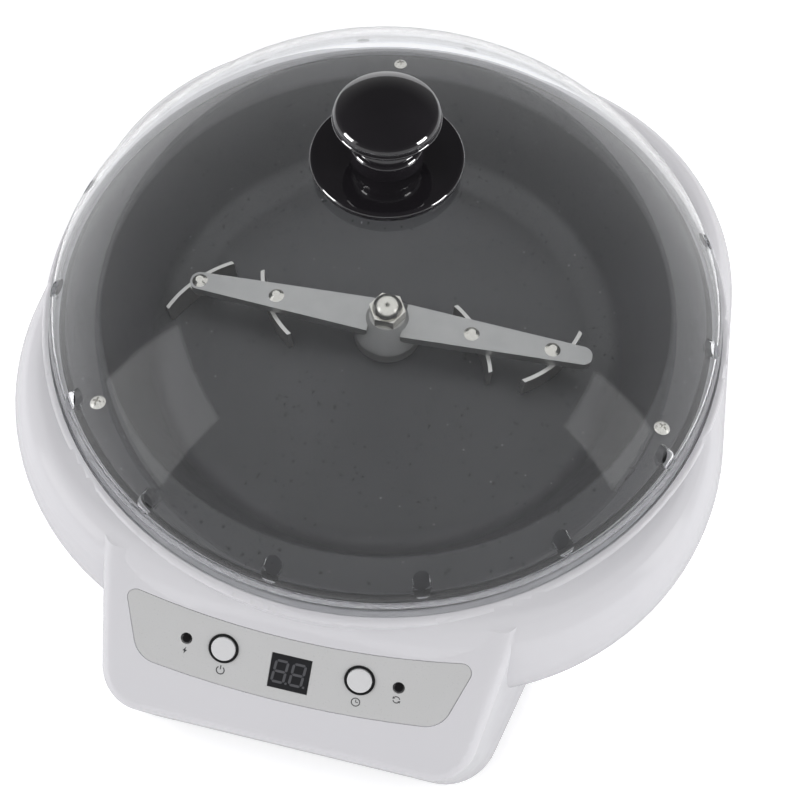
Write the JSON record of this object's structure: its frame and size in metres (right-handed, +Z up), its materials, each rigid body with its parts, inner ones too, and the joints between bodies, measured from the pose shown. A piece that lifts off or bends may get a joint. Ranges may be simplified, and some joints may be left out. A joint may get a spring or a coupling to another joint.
{
  "type": "home coffee bean roaster",
  "caption": "Countertop bean roaster: white moulded body, dark flanged pan with a driven stirrer, clear lift-off dome with a black knob, and a sloping control console.",
  "frame": {"origin": "middle of the footprint on the table, under the bounding box's centre", "axes": "+Z up along the pan's axis, -Y towards the user and the console, +X to the user's right"},
  "size_m": [0.276, 0.3033, 0.18],
  "materials": {
    "white_abs": "glossy moulded",
    "grey_plastic": "matt moulded",
    "steel": "bright zinc",
    "black_rubber": "matt",
    "black_plastic": "fine matt",
    "pan_coating": "speckled non-stick coating",
    "black_silicone": "satin",
    "brass": "turned",
    "heater_steel": "heat-darkened tube",
    "steel_sheet": "pressed sheet",
    "aluminium_sheet": "mill finish",
    "motor_steel": "zinc plated can",
    "cast_aluminium": "cast and blasted",
    "panel_grey": "printed sheet",
    "smoked_acrylic": "smoked",
    "board_green": "solder mask",
    "dark_lamp": "unlit lens",
    "button_white": "glossy",
    "clear_dome": "clear blown polycarbonate",
    "knob_black": "high gloss"
  },
  "bodies": {
    "housing": {"housing": "white_abs", "base_plate": "grey_plastic", "base_screws": "steel", "rubber_feet": "black_rubber", "cord_gland": "black_plastic", "roasting_pan": "pan_coating", "pan_seal": "black_silicone", "pan_screws": "steel", "shaft_bush": "brass", "heating_element": "heater_steel", "heater_clamps": "steel_sheet", "heat_reflector": "aluminium_sheet", "reflector_screws": "steel", "thermostat": "steel_sheet", "gear_motor": "motor_steel", "motor_screws": "steel", "panel_overlay": "panel_grey", "display_window": "smoked_acrylic", "display_module": "black_plastic", "control_board": "board_green", "board_screws": "steel", "board_components": "black_plastic", "tact_switches": "black_plastic", "power_lamp": "dark_lamp", "working_lamp": "dark_lamp", "power_button_ring": "black_plastic", "timer_button_ring": "black_plastic"},
    "lid": {"lid_dome": "clear_dome", "knob_base": "knob_black", "knob": "knob_black", "knob_washer": "steel", "knob_screw": "steel"},
    "stirrer": {"motor_spindle": "steel", "shaft_coupling": "steel", "drive_shaft": "steel", "stirring_hub": "cast_aluminium", "stirring_blades": "steel_sheet", "blade_rivets": "steel", "arm_nut": "steel"},
    "power_button": {"power_button": "button_white"},
    "timer_button": {"timer_button": "button_white"}
  },
  "joints": [
    {"name": "lid_lift", "type": "slide", "parent": "housing", "child": "lid", "axis": [0, 0, 1], "range_m": [0, 0.15]},
    {"name": "stirrer_spin", "type": "hinge", "parent": "housing", "child": "stirrer", "pos_m": [0, 0.01324, 0.06], "axis": [0, 0, 1], "continuous": true},
    {"name": "power_press", "type": "slide", "parent": "housing", "child": "power_button", "axis": [0, 0.5878, -0.809], "range_m": [0, 0.001], "stiffness_N_per_m": 300},
    {"name": "timer_press", "type": "slide", "parent": "housing", "child": "timer_button", "axis": [0, 0.5878, -0.809], "range_m": [0, 0.001], "stiffness_N_per_m": 300}
  ]
}
